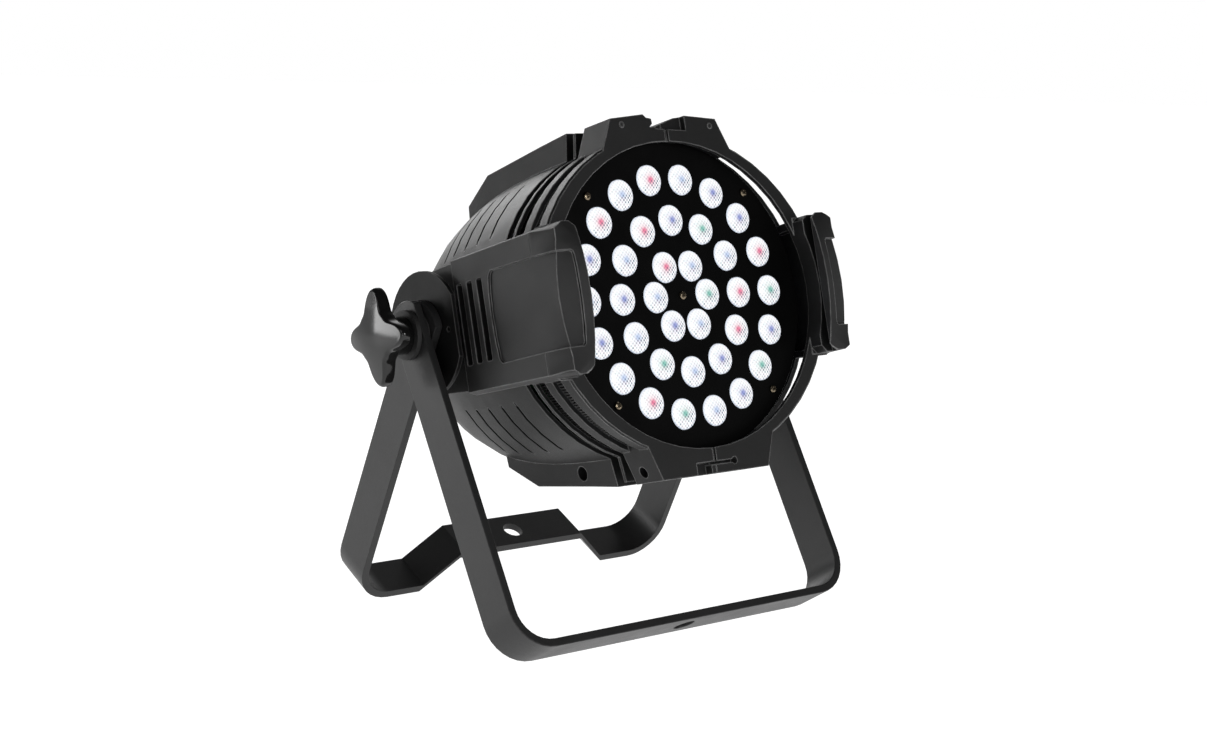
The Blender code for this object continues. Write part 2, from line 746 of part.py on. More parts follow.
def build_electronics(head):
    supply = make("power_supply", box((-0.050, -0.0120, 0.0060), (0.050, 0.0240, 0.0620)), aluminium())
    hang(supply, head)
    driver = make("driver_board", box((-0.048, 0.0020, -0.0560), (0.048, 0.0036, -0.0060)),
                  board_green())
    join(driver, box((-0.040, 0.0030, -0.050), (-0.024, 0.0150, -0.030)),
         box((0.006, 0.0030, -0.044), (0.030, 0.0120, -0.020)))
    hang(driver, head)
    board = make("control_board", box((-0.040, 0.0640, 0.0040), (0.040, 0.0656, 0.0500)), board_green())
    join(board, box((-0.020, 0.0650, 0.0270), (0.020, 0.0820, 0.0410)))
    hang(board, head)


# ---------------------------------------------------------------- rear panel

def button_places():
    return [((i - 1.5) * BUTTON_STEP, BUTTON_Z) for i in range(4)]


def centred(width, height, x, z):
    return (x - width / 2, z - height / 2), (x + width / 2, z + height / 2)


def build_rear_cover(head):
    cover = make("rear_cover", turned([(COVER_FRONT, COVER_RADIUS, COVER_RADIUS),
                                       (COVER_BACK - 0.0008, COVER_RADIUS, COVER_RADIUS),
                                       (COVER_BACK, COVER_RADIUS - 0.0012, COVER_RADIUS - 0.0012)]),
                 black_powder())
    low, high = COVER_FRONT - 0.01, COVER_BACK + 0.01
    window = rounded_rectangle(*centred(DISPLAY[0], DISPLAY[1], 0.0, DISPLAY_Z), 0.0010, 2)
    inlet = rounded_rectangle(*centred(0.0282, 0.0206, 0.0, INLET_Z), 0.0020, 2)
    holes = [prism(window, "y", low, high), prism(inlet, "y", low, high)]
    holes += [rod(BUTTON_RADIUS + GAP, "y", low, high, place, 14) for place in button_places()]
    holes += [rod(0.0120, "y", low, high, (side * SOCKET_X, SOCKET_Z), 20) for side in (-1, 1)]
    holes.append(rod(0.0063, "y", low, high, (FUSE_X, INLET_Z), 16))
    holes += [rod(0.0018, "y", low, high, place, 12) for place in cover_screw_places()]
    cut(cover, merged(holes))
    hang(cover, head)


def cover_screw_places():
    return [(0.0640 * math.cos(math.radians(angle)), 0.0640 * math.sin(math.radians(angle)))
            for angle in range(45, 360, 90)]


def build_display(head):
    low, high = centred(DISPLAY[0] - 2 * GAP, DISPLAY[1] - 2 * GAP, 0.0, DISPLAY_Z)
    window = make("display_window", prism(rounded_rectangle(low, high, 0.0010, 2), "y",
                                          COVER_BACK - 0.0022, COVER_BACK + 0.0004), window_plastic())
    hang(window, head)


def build_buttons(head):
    for name, place in zip(("menu", "down", "up", "enter"), button_places()):
        x, z = place
        stations = ((0.0780, BUTTON_RADIUS - 0.0005), (0.0930, BUTTON_RADIUS - 0.0005),
                    (0.0940, BUTTON_RADIUS - 0.0013))
        turn = 2 * math.pi / 14
        cap = loft([[(x + r * math.cos(turn * i), y, z + r * math.sin(turn * i)) for i in range(14)]
                    for y, r in stations])
        hang(make("button_" + name, cap, gloss_black()), head, (x, 0.0930, z))


def socket_flange(x):
    outline = rounded_rectangle(*centred(0.0260, 0.0300, x, SOCKET_Z), 0.0030, 3)
    return prism(outline, "y", COVER_BACK + GAP, COVER_BACK + 0.0020)


def contact_places(x):
    return [(x + 0.0042 * math.cos(math.radians(a)), SOCKET_Z + 0.0042 * math.sin(math.radians(a)))
            for a in (200, 340, 270)]


def build_sockets(head):
    """Three-pin data sockets: pins on the way in, a drilled core on the way out."""
    for name, side in (("in", -1), ("out", 1)):
        x = side * SOCKET_X
        socket = make("dmx_socket_" + name, socket_flange(x), steel())
        join(socket, rod(0.0117, "y", 0.0720, COVER_BACK + 0.0010, (x, SOCKET_Z), 20))
        cut(socket, rod(0.0095, "y", 0.0780, 0.10, (x, SOCKET_Z), 20))
        if name == "in":
            join(socket, *[rod(0.0012, "y", 0.0770, 0.0900, place, 8) for place in contact_places(x)])
        else:
            join(socket, rod(0.0072, "y", 0.0770, 0.0915, (x, SOCKET_Z), 16))
            cut(socket, *[rod(0.0014, "y", 0.0810, 0.10, place, 8) for place in contact_places(x)])
        hang(socket, head)


def build_inlet(head):
    """Mains inlet with its shroud and three flat contacts."""
    flange = rounded_rectangle(*centred(0.0340, 0.0260, 0.0, INLET_Z), 0.0025, 3)
    inlet = make("power_inlet", prism(flange, "y", COVER_BACK + GAP, COVER_BACK + 0.0022), gloss_black())
    body = rounded_rectangle(*centred(0.0276, 0.0200, 0.0, INLET_Z), 0.0018, 2)
    join(inlet, prism(body, "y", 0.0700, COVER_BACK + 0.0010))
    socket = rounded_rectangle(*centred(0.0240, 0.0164, 0.0, INLET_Z), 0.0030, 2)
    cut(inlet, prism(socket, "y", 0.0770, 0.10))
    for x, z in ((-0.007, -0.002), (0.0, 0.002), (0.007, -0.002)):
        join(inlet, box((x - 0.001, 0.0760, INLET_Z + z - 0.002), (x + 0.001, 0.0900, INLET_Z + z + 0.002)))
    hang(inlet, head)


def build_fuse_holder(head):
    holder = make("fuse_holder", rod(0.0060, "y", 0.0700, COVER_BACK + 0.0010, (FUSE_X, INLET_Z), 16),
                  gloss_black())
    join(holder, rod(0.0078, "y", COVER_BACK + GAP, COVER_BACK + 0.0060, (FUSE_X, INLET_Z), 20))
    cut(holder, box((FUSE_X - 0.0050, COVER_BACK + 0.0045, INLET_Z - 0.0007),
                    (FUSE_X + 0.0050, COVER_BACK + 0.0100, INLET_Z + 0.0007)))
    hang(holder, head)


def build_eyelet(head):
    """Welded loop for the safety cable, on a small foot."""
    foot = rounded_rectangle(*centred(0.0280, 0.0080, 0.0, EYELET_Z), 0.0020, 3)
    eyelet = make("safety_eyelet", prism(foot, "y", COVER_BACK + GAP, COVER_BACK + 0.0020), yoke_paint())
    loop = bmesh.new()
    rows = []
    for i in range(13):
        angle = math.pi * i / 12
        out = Vector((-math.cos(angle), math.sin(angle), 0.0))
        middle = Vector((0.0, COVER_BACK + 0.0015, EYELET_Z)) + out * 0.0100
        rows.append(ring_loop(loop, [middle + out * (0.0018 * math.cos(a)) +
                                     Vector((0.0, 0.0, 0.0018 * math.sin(a)))
                                     for a in [2 * math.pi * k / 8 for k in range(8)]]))
    for low, high in zip(rows, rows[1:]):
        bridge(loop, low, high)
    loop.faces.new(reversed(rows[0]))
    loop.faces.new(rows[-1])
    join(eyelet, loop)
    hang(eyelet, head)


def build_cover_screws(head):
    for i, place in enumerate(cover_screw_places()):
        pan_screw("cover_screw_%d" % (i + 1), 0.0030, 0.0013, COVER_BACK + GAP, BELL_BACK - 0.0060,
                  0.0018, place, head)


# ---------------------------------------------------------------- pivots
def side_turned(side, stations, steps=20):
    """A solid turned about the tilt axis, through (x, radius) stations on one side."""
    turn = 2 * math.pi / steps
    return loft([[(side * x, r * math.cos(turn * i), r * math.sin(turn * i)) for i in range(steps)]
                 for x, r in stations])


def build_friction_disc(name, side, head):
    """Sheet disc with one flat edge, on a hub that stands it off the pod."""
    chord = math.degrees(math.acos(DISC_FLAT / DISC_RADIUS))
    outline = arc((0.0, 0.0), DISC_RADIUS, -180 + chord, 180 - chord, 32)
    plate = prism(outline, "x", side * 0.1212, side * 0.1239)
    disc = make(name, plate, yoke_paint())
    join(disc, side_turned(side, ((0.1128, 0.0190), (0.1220, 0.0175))))
    cut(disc, rod(BOLT_HOLE, "x", -0.14, 0.14, steps=20))
    cut(disc, rod(0.0016, "x", -0.14, 0.14, (-0.0262, -0.0013), 12))
    hang(disc, head)


def build_washer(name, side, start, end, radius, parent):
    washer = make(name, side_turned(side, ((start, radius), (end, radius))), matte_black())
    cut(washer, rod(BOLT_HOLE, "x", -0.16, 0.16, steps=20))
    hang(washer, parent)


def build_bolt(name, side, head):
    """Hex head inside the pod, plain shank out to the knob."""
    loops = []
    for x, radius, hexagon in ((0.1005, 0.0098, True), (0.1086, 0.0098, True),
                               (0.1086, 0.0050, False), (0.1490, 0.0050, False)):
        points = []
        for i in range(12):
            reach = radius * (math.cos(math.radians(30)) if hexagon and i % 2 else 1.0)
            angle = math.radians(30 * i)
            points.append((side * x, reach * math.cos(angle), reach * math.sin(angle)))
        loops.append(points)
    hang(make(name, loft(loops), steel()), head)


def knob_outline(scale):
    """Four lobes with round hollows between them."""
    points = []
    steps = 32
    for i in range(steps):
        angle = 2 * math.pi * i / steps
        lobe = (0.5 + 0.5 * math.cos(4 * angle)) ** 2.0
        radius = (KNOB_WAIST + (KNOB_RADIUS - KNOB_WAIST) * lobe) * scale
        points.append((radius * math.cos(angle), radius * math.sin(angle)))
    return points


def knob_loop(side, x, scale):
    return [(side * x, a, b) for a, b in knob_outline(scale)]


def build_knob(name, side, pivot):
    """Star knob with a dished face and a hub down to its washer."""
    back = KNOB_FACE - 0.0100
    loops = [knob_loop(side, back, 0.92), knob_loop(side, back + 0.0030, 1.0),
             knob_loop(side, KNOB_FACE - 0.0015, 0.985), knob_loop(side, KNOB_FACE, 0.92),
             knob_loop(side, KNOB_FACE - 0.0030, 0.40)]
    knob = make(name, loft(loops), gloss_black())
    join(knob, side_turned(side, ((0.1395, 0.0105), (0.1410, 0.0112), (back - 0.002, 0.0112),
                                  (back + 0.0030, 0.0150))))
    cut(knob, side_turned(side, ((0.1300, 0.0053), (0.1520, 0.0053)), 20))
    hang(knob, pivot)


def build_pivots(head, knob_pivots):
    for name, side in (("left", -1), ("right", 1)):
        build_friction_disc("friction_disc_" + name, side, head)
        build_washer("arm_washer_" + name, side, 0.1297, 0.1306, 0.0150, head)
        build_washer("knob_washer_" + name, side, 0.1362, 0.1392, 0.0155, head)
        build_bolt("pivot_bolt_" + name, side, head)
        build_knob("knob_" + name, side, knob_pivots[name])


def build_clamp_screws(head):
    """Screws across the seam; their heads sit in counterbores on the ridges' sides."""
    for name, y, z, side in clamp_screw_places():
        radius = 0.0038 if "rear" in name else 0.0028
        turn = 2 * math.pi / 10
        stations = ((0.0335, radius), (0.0303, radius), (0.0303, 0.0017), (-0.0300, 0.0017))
        screw = loft([[(side * x, y + r * math.cos(turn * i), z + r * math.sin(turn * i))
                       for i in range(10)] for x, r in stations])
        hang(make("clamp_screw_" + name, screw, steel()), head)


# ---------------------------------------------------------------- assembly
def main():
    for obj in list(bpy.data.objects):
        bpy.data.objects.remove(obj)
    axis = (0.0, SEAT_Y, PIVOT_Z)
    front_pivot = pivot_empty("front_yoke_pivot", axis, -FRONT_LEAN)
    rear_pivot = pivot_empty("rear_yoke_pivot", axis, REAR_LEAN)
    head = pivot_empty("head_pivot", axis, -HEAD_TILT)
    knob_pivots = {name: pivot_empty("knob_pivot_" + name, (0.0, 0.0, 0.0), 0.0, head)
                   for name in ("left", "right")}
    build_yokes(front_pivot, rear_pivot)
    build_housing(head)
    build_lenses(head)
    build_face_plate(head)
    build_face_screws(head)
    build_engine(head)
    build_electronics(head)
    build_rear_cover(head)
    build_display(head)
    build_buttons(head)
    build_sockets(head)
    build_inlet(head)
    build_fuse_holder(head)
    build_eyelet(head)
    build_cover_screws(head)
    build_pivots(head, knob_pivots)
    build_clamp_screws(head)


main()
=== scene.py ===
"""Finishes, lenses, screws, knobs and studio of the par can light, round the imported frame."""

import json
import math

import bmesh
import bpy
from mathutils import Matrix, Vector


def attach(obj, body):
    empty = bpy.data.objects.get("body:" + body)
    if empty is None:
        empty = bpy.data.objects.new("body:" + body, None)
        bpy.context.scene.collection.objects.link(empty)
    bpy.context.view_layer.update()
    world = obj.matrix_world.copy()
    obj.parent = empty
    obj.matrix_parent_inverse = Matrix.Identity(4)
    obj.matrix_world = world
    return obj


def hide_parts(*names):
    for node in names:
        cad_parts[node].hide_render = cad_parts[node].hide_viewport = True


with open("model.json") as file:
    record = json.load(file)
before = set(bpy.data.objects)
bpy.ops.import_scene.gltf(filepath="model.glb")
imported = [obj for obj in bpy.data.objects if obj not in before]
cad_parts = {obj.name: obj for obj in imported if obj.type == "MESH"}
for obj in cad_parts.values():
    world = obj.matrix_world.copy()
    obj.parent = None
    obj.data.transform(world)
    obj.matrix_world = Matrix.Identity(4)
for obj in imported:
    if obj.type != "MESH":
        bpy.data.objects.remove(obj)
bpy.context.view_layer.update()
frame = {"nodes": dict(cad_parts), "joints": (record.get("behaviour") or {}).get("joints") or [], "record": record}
NODES = frame["nodes"]
JOINTS = {joint["name"]: joint for joint in frame["joints"]}

# ---------------------------------------------------------------- the head's own frame
# Its origin is on the tilt axis, -Y looks out through the lenses, and X runs from knob to knob.
PIVOT = Vector(JOINTS["head_tilt"]["pos_m"])
OPTICAL = JOINTS["fan_spin"]["axis"]
TILT = math.atan2(-OPTICAL[2], OPTICAL[1])
HEAD = Matrix.Translation(PIVOT) @ Matrix.Rotation(-TILT, 4, "X")

# Sizes in metres in that frame, the same as in the CAD.
LENS_PLANE = -0.1018
LENS_RADIUS = 0.0096
PLATE_RADIUS = 0.0970
PLATE_THICK = 0.0020
PLATE_BACK = LENS_PLANE + PLATE_THICK
FACE_SCREW_CIRCLE = 0.0897
COVER_SCREW_CIRCLE = 0.0640
FLANGE_FRONT = -0.1095
COVER_BACK = 0.0918
SINK_FRONT = -0.0902
SINK_BACK = -0.0846
SINK_FRONT_RADIUS = 0.0950
SINK_BACK_RADIUS = 0.0956
YOKE_BEVEL = 0.0007

# The bell's curved slits: the first and last one's place, how far apart they are, and the
# angles round the bell between which they run. Shade is painted in a band on each side of a slit.
SLIT_START = -0.0420
SLIT_PITCH = 0.0170
SLIT_END = SLIT_START + 4 * SLIT_PITCH
SLIT_LOW_ANGLE = math.radians(30.0)
SLIT_HIGH_ANGLE = math.radians(52.4)
SLIT_SHADE_REACH = 0.0010
SLIT_SHADE_FADE = 0.0005

# The star knob: its face, its lobes and the waist between them, and its turn in the photograph.
KNOB_FACE = 0.1612
KNOB_CROWN = 0.0012
KNOB_FALL = 0.0030
KNOB_THICK = 0.0094
KNOB_EDGE = 0.0026
KNOB_RADIUS = 0.0302
KNOB_WAIST = 0.0178
KNOB_PHASE = math.radians(5.5)
KNOB_LOBES = 4
KNOB_SHARPNESS = 1.9

# Each circle of lenses: name, radius, and the colour at the middle of each lens, which is
# red, green, blue or white.
RINGS = (("inner", 0.0210, "gwrwbw"),
         ("middle", 0.0473, "rwgbrwbwgwbr"),
         ("outer", 0.0736, "grbbwrwrbwbwrgwbgb"))

# The strength of the lenses' light.
LENS_LIGHT = 1.08

# How fast the waves that make the bead rows turn across and up a lens, in radians per metre.
BEADS_ACROSS = 2480.0
BEADS_UP = 2330.0


# ---------------------------------------------------------------- node helpers
class Graph:
    """Short calls for building one node tree."""

    def __init__(self, tree):
        self.tree = tree

    def node(self, kind):
        return self.tree.nodes.new(kind)

    def put(self, socket, value):
        """Link a socket to this one, or set it to a plain value."""
        if isinstance(value, bpy.types.NodeSocket):
            self.tree.links.new(value, socket)
        else:
            socket.default_value = value

    def between(self, value, low, high, out_low, out_high, smooth=False):
        """Carry low..high over to out_low..out_high, and hold the ends."""
        made = self.node("ShaderNodeMapRange")
        made.interpolation_type = "SMOOTHSTEP" if smooth else "LINEAR"
        for index, number in enumerate((value, low, high, out_low, out_high)):
            self.put(made.inputs[index], number)
        return made.outputs["Result"]

    def maths(self, operation, *values):
        made = self.node("ShaderNodeMath")
        made.operation = operation
        for index, number in enumerate(values):
            self.put(made.inputs[index], number)
        return made.outputs[0]

    def dot(self, first, second):
        made = self.node("ShaderNodeVectorMath")
        made.operation = "DOT_PRODUCT"
        self.put(made.inputs[0], first)
        self.put(made.inputs[1], second)
        return made.outputs["Value"]

    def split(self, vector):
        """The vector's X, Y and Z."""
        made = self.node("ShaderNodeSeparateXYZ")
        self.put(made.inputs[0], vector)
        return made.outputs["X"], made.outputs["Y"], made.outputs["Z"]


class Finish(Graph):
    """One new material: its shader, textures in object coordinates, bump and painted edge highlights."""

    def __init__(self, name):
        self.material = bpy.data.materials.new(name)
        self.material.use_nodes = True
        super().__init__(self.material.node_tree)
        self.shader = self.tree.nodes["Principled BSDF"]
        self.point = self.node("ShaderNodeTexCoord").outputs["Object"]

    def set(self, **inputs):
        """Set the shader's own sockets; an underscore stands for a space."""
        for key, value in inputs.items():
            self.put(self.shader.inputs[key.replace("_", " ")], value)

    def noise(self, scale, detail=3.0, roughness=0.5, vector=None):
        made = self.node("ShaderNodeTexNoise")
        self.put(made.inputs["Scale"], scale)
        self.put(made.inputs["Detail"], detail)
        self.put(made.inputs["Roughness"], roughness)
        self.put(made.inputs["Vector"], vector or self.point)
        return made.outputs["Fac"]

    def voronoi(self, scale, feature="F1", vector=None):
        made = self.node("ShaderNodeTexVoronoi")
        made.feature = feature
        self.put(made.inputs["Scale"], scale)
        self.put(made.inputs["Vector"], vector or self.point)
        return made.outputs["Distance"]

    def drag(self, factors, detail, roughness):
        """Noise squeezed by a factor along each axis, for marks that run one way."""
        made = self.node("ShaderNodeMapping")
        made.inputs["Scale"].default_value = factors
        self.put(made.inputs["Vector"], self.point)
        return self.noise(1.0, detail, roughness, made.outputs["Vector"])

    def mix(self, factor, first, second):
        made = self.node("ShaderNodeMix")
        made.data_type = "RGBA"
        self.put(made.inputs["Factor"], factor)
        self.put(made.inputs[6], first)
        self.put(made.inputs[7], second)
        return made.outputs[2]

    def rounded(self, radius):
        """Normal with its edges rounded, as on a casting."""
        made = self.node("ShaderNodeBevel")
        made.samples = 4
        made.inputs["Radius"].default_value = radius
        return made.outputs["Normal"]

    def bump(self, height, distance, strength=1.0, normal=None):
        made = self.node("ShaderNodeBump")
        made.inputs["Strength"].default_value = strength
        made.inputs["Distance"].default_value = distance
        self.put(made.inputs["Height"], height)
        if normal is not None:
            self.put(made.inputs["Normal"], normal)
        return made.outputs["Normal"]

    def edges(self, radius):
        """How far the rounded normal leans from the flat one: high along edges."""
        flat = self.node("ShaderNodeNewGeometry").outputs["Normal"]
        return self.between(self.dot(self.rounded(radius), flat), 0.995, 0.90, 0.0, 1.0)


def grey(value, tint=(1.0, 1.0, 1.0)):
    """Opaque grey of this brightness, slightly tinted."""
    return (value * tint[0], value * tint[1], value * tint[2], 1.0)


# ---------------------------------------------------------------- materials
def slit_shade_mask(look):
    """1 in a thin band along each side of the bell's curved slits, where painted shade darkens the coat and makes
    it matte, else 0.
    """
    x, y, z = look.split(look.point)
    along = look.maths("SUBTRACT", y, PIVOT.y)
    up = look.maths("SUBTRACT", z, PIVOT.z)
    head_y = look.maths("SUBTRACT", look.maths("MULTIPLY", along, math.cos(TILT)),
                        look.maths("MULTIPLY", up, math.sin(TILT)))
    head_z = look.maths("ADD", look.maths("MULTIPLY", along, math.sin(TILT)),
                        look.maths("MULTIPLY", up, math.cos(TILT)))
    near = look.maths("PINGPONG", look.maths("SUBTRACT", head_y, SLIT_START), SLIT_PITCH / 2)
    line = look.between(near, SLIT_SHADE_REACH, SLIT_SHADE_REACH + SLIT_SHADE_FADE, 1.0, 0.0)
    rows = look.maths("MULTIPLY",
                      look.between(head_y, SLIT_START - 0.003, SLIT_START - 0.002, 0.0, 1.0),
                      look.between(head_y, SLIT_END + 0.002, SLIT_END + 0.003, 1.0, 0.0))
    angle = look.maths("ARCTAN2", look.maths("ABSOLUTE", head_z), look.maths("ABSOLUTE", x))
    fade_low = SLIT_LOW_ANGLE - math.radians(0.6)
    fade_high = SLIT_HIGH_ANGLE + math.radians(0.8)
    span = look.maths("MULTIPLY", look.between(angle, fade_low, SLIT_LOW_ANGLE, 0.0, 1.0),
                      look.between(angle, SLIT_HIGH_ANGLE, fade_high, 1.0, 0.0))
    return look.maths("MULTIPLY", look.maths("MULTIPLY", line, rows), span)


def powder_coat(name="powder_coat", base=0.0082, edge_radius=0.0008):
    """Semi-matte black powder coat: fine orange peel, faint cloudiness, and a painted highlight along its edges.
    """
    look = Finish(name)
    painted_slit_shade = slit_shade_mask(look)
    peel = look.noise(2600.0, 3.0, 0.55)
    clouds = look.noise(34.0, 4.0, 0.6)
    patchy = look.between(look.noise(90.0, 4.0, 0.6), 0.30, 0.62, 0.35, 1.0)
    # Painted highlight: a paler, patchy line along the casting's edges, where the rounded normal leans away from
    # the flat one.
    edge_highlight = look.maths("MULTIPLY", look.edges(edge_radius * 1.3), patchy)
    body = look.mix(clouds, grey(base * 0.85), grey(base * 1.25, (1.0, 1.0, 1.02)))
    specks = look.between(look.voronoi(4200.0), 0.0, 0.22, 0.22, 0.0)
    colour = look.mix(edge_highlight, look.mix(specks, body, grey(base * 2.6)), grey(0.270))
    uneven = look.maths("ADD", look.maths("MULTIPLY", clouds, 0.6), look.maths("MULTIPLY", peel, 0.4))
    rough = look.between(uneven, 0.30, 0.70, 0.40, 0.54)
    height = look.maths("SUBTRACT", peel, look.maths("MULTIPLY", painted_slit_shade, 3.0))
    # Painted shade: the coat turns near black in a thin band along each slit.
    look.set(Base_Color=look.mix(painted_slit_shade, colour, grey(0.001)),
             Roughness=look.maths("MAXIMUM", rough, painted_slit_shade), Specular_IOR_Level=0.29,
             Normal=look.bump(height, 0.00022, 0.42, look.rounded(edge_radius)))
    return look.material


def bar_paint():
    """Satin black paint on steel bar: smoother than the casting, with a brushed trace along it."""
    look = Finish("yoke_paint")
    peel = look.noise(1900.0, 2.0, 0.5)
    clouds = look.noise(26.0, 4.0, 0.62)
    drag = look.drag((30.0, 420.0, 420.0), 3.0, 0.6)
    patchy = look.between(look.noise(120.0, 5.0, 0.6), 0.50, 0.72, 0.0, 0.55)
    # Painted highlight: a paler, patchy line along the bar's edges.
    edge_highlight = look.maths("MULTIPLY", look.edges(0.0005), patchy)
    body = look.mix(clouds, grey(0.0095), grey(0.0140, (1.0, 1.0, 1.03)))
    uneven = look.maths("ADD", clouds, look.maths("MULTIPLY", drag, 0.5))
    height = look.maths("ADD", peel, look.maths("MULTIPLY", drag, 0.35))
    look.set(Base_Color=look.mix(edge_highlight, body, grey(0.045)),
             Roughness=look.between(uneven, 0.4, 1.1, 0.34, 0.50), Specular_IOR_Level=0.40,
             Normal=look.bump(height, 0.00016, 0.35, look.rounded(0.0006)))
    return look.material


def face_black():
    """Flat black lacquer of the lens panel with a few dust specks."""
    look = Finish("face_black")
    clouds = look.noise(40.0, 3.0, 0.6)
    dust = look.between(look.voronoi(900.0), 0.0, 0.06, 0.35, 0.0)
    body = look.mix(clouds, grey(0.0010), grey(0.0018))
    look.set(Base_Color=look.mix(dust, body, grey(0.012)), Specular_IOR_Level=0.06,
             Roughness=look.between(clouds, 0.3, 0.7, 0.40, 0.52),
             Normal=look.bump(look.noise(1500.0, 2.0), 0.00008, 0.30, look.rounded(0.0003)))
    return look.material


def disc_paint():
    """Darker, flatter paint of the friction discs, with a painted highlight along their edges."""
    look = Finish("disc_paint")
    clouds = look.noise(60.0, 4.0, 0.6)
    body = look.mix(clouds, grey(0.0036), grey(0.0056))
    # Painted highlight: pale colour along the discs' edges.
    look.set(Base_Color=look.mix(look.edges(0.0009), body, grey(0.090)), Specular_IOR_Level=0.12,
             Roughness=look.between(clouds, 0.3, 0.7, 0.36, 0.46),
             Normal=look.bump(look.noise(1800.0, 2.0), 0.00015, 0.35, look.rounded(0.0005)))
    return look.material


def gloss_moulding():
    """Glossy black moulding with faint ripples and hairline scuffs."""
    look = Finish("knob_gloss")
    ripple = look.noise(55.0, 2.0, 0.4)
    scuff = look.drag((260.0, 2400.0, 900.0), 4.0, 0.7)
    height = look.maths("ADD", ripple, look.maths("MULTIPLY", scuff, 0.05))
    look.set(Base_Color=look.mix(look.noise(30.0, 3.0), grey(0.0032), grey(0.0056)),
             Roughness=look.between(scuff, 0.40, 0.75, 0.09, 0.17), Specular_IOR_Level=0.42,
             Coat_Weight=0.15, Coat_Roughness=0.08,
             Normal=look.bump(height, 0.00030, 0.25, look.rounded(0.0004)))
    return look.material


def matte_plastic():
    """Grained black plastic of the washers, the fan, the fuse holder and the power inlet."""
    look = Finish("black_plastic")
    grain = look.voronoi(3000.0)
    look.set(Base_Color=look.mix(look.noise(60.0, 3.0), grey(0.010), grey(0.016)),
             Roughness=look.between(grain, 0.0, 0.7, 0.48, 0.62),
             Normal=look.bump(grain, 0.00012, 0.30, look.rounded(0.0004)))
    return look.material


def zinc_steel():
    """Zinc-plated screw steel: cloudy blue-grey with fine turning marks."""
    look = Finish("zinc_steel")
    clouds = look.noise(420.0, 4.0, 0.65)
    fine = look.drag((5200.0, 700.0, 5200.0), 3.0, 0.7)
    look.set(Base_Color=look.mix(clouds, grey(0.36), grey(0.58, (1.0, 1.0, 1.04))), Metallic=1.0,
             Roughness=look.between(clouds, 0.3, 0.7, 0.24, 0.42),
             Normal=look.bump(fine, 0.00006, 0.35, look.rounded(0.00025)))
    return look.material


def dull_brass():
    """Passivated screw heads of the lens panel: dull brass, unevenly darkened."""
    look = Finish("dull_brass")
    clouds = look.noise(900.0, 3.0, 0.6)
    look.set(Base_Color=look.mix(clouds, (0.060, 0.045, 0.030, 1.0), (0.42, 0.35, 0.25, 1.0)),
             Metallic=1.0, Roughness=look.between(clouds, 0.3, 0.7, 0.14, 0.26),
             Normal=look.bump(clouds, 0.00006, 0.30, look.rounded(0.0002)))
    return look.material


def bare_aluminium():
    """Bare aluminium with a drawn grain."""
    look = Finish("bare_aluminium")
    drag = look.drag((2600.0, 90.0, 2600.0), 3.0, 0.7)
    look.set(Base_Color=look.mix(look.noise(60.0, 4.0), grey(0.50), grey(0.66, (1.0, 1.0, 1.02))),
             Metallic=1.0, Roughness=look.between(drag, 0.3, 0.7, 0.30, 0.46),
             Normal=look.bump(drag, 0.00008, 0.35, look.rounded(0.0003)))
    return look.material


def dark_fins():
    """Heat-sink teeth: dark anodised, dusty."""
    look = Finish("dark_fins")
    dust = look.noise(700.0, 4.0, 0.65)
    look.set(Base_Color=look.mix(dust, grey(0.045), grey(0.160)), Metallic=0.6,
             Roughness=look.between(dust, 0.3, 0.7, 0.38, 0.60),
             Normal=look.bump(dust, 0.00010, 0.30))
    return look.material


def circuit_board():
    """Green board with paler raised tracks."""
    look = Finish("circuit_board")
    tracks = look.between(look.voronoi(420.0, "DISTANCE_TO_EDGE"), 0.02, 0.06, 1.0, 0.0)
    look.set(Base_Color=look.mix(tracks, (0.012, 0.075, 0.030, 1.0), (0.035, 0.20, 0.08, 1.0)),
             Roughness=0.35, Normal=look.bump(tracks, 0.00010, 0.5))
    return look.material


def display_dark():
    """Dark display window; unlit segments barely show behind it."""
    look = Finish("display_dark")
    ghost = look.between(look.voronoi(260.0, "DISTANCE_TO_EDGE"), 0.02, 0.10, 0.5, 0.0)
    look.set(Base_Color=look.mix(ghost, (0.004, 0.007, 0.014, 1.0), (0.012, 0.020, 0.036, 1.0)),
             Roughness=look.between(look.noise(300.0), 0.3, 0.7, 0.05, 0.12),
             Normal=look.rounded(0.0004), Coat_Weight=0.6)
    return look.material


